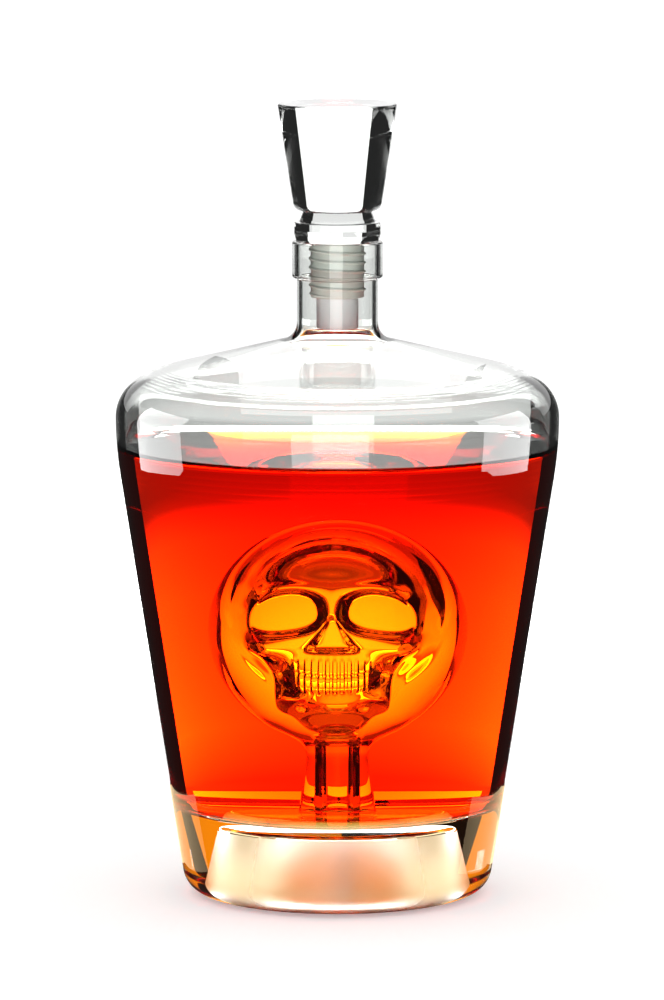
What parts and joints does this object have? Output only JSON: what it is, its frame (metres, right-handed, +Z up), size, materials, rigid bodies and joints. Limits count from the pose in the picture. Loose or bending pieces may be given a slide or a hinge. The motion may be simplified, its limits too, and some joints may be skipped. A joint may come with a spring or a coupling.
{
  "type": "liquor decanter",
  "caption": "Tapered glass decanter with a thick hollowed foot, a hollow glass skull on a stem standing in the liquor, and a solid glass stopper with a ribbed seal.",
  "frame": {"origin": "middle of the foot's resting ring, on the surface that the decanter stands on", "axes": "+Z up along the vessel's axis; the skull faces -Y; +X is to the right as the skull is seen from the front"},
  "size_m": [0.129, 0.129, 0.2309],
  "materials": {
    "foot_glass": "clear, fire polished",
    "vessel_glass": "clear, blown and fire polished",
    "figure_glass": "clear, blown",
    "stopper_glass": "clear, pressed and polished",
    "liquor": "clear amber red liquid",
    "shank_plastic": "satin, translucent white",
    "seal_silicone": "satin, translucent grey"
  },
  "bodies": {
    "vessel": {"base_block": "foot_glass", "side_wall": "vessel_glass", "shoulder_dome": "vessel_glass", "neck_tube": "vessel_glass", "lip_ring": "vessel_glass", "stem_tube": "figure_glass", "skull_shell": "figure_glass", "liquor": "liquor"},
    "seal": {"stopper_seal": "seal_silicone"},
    "stopper": {"stopper_knob": "stopper_glass", "stopper_shank": "shank_plastic"}
  },
  "joints": [
    {"name": "stopper_lift", "type": "slide", "parent": "vessel", "child": "seal", "axis": [0, 0, 1], "range_m": [0, 0.06]},
    {"name": "stopper_turn", "type": "hinge", "parent": "seal", "child": "stopper", "pos_m": [0, 0, 0.182], "axis": [0, 0, 1], "continuous": true}
  ]
}
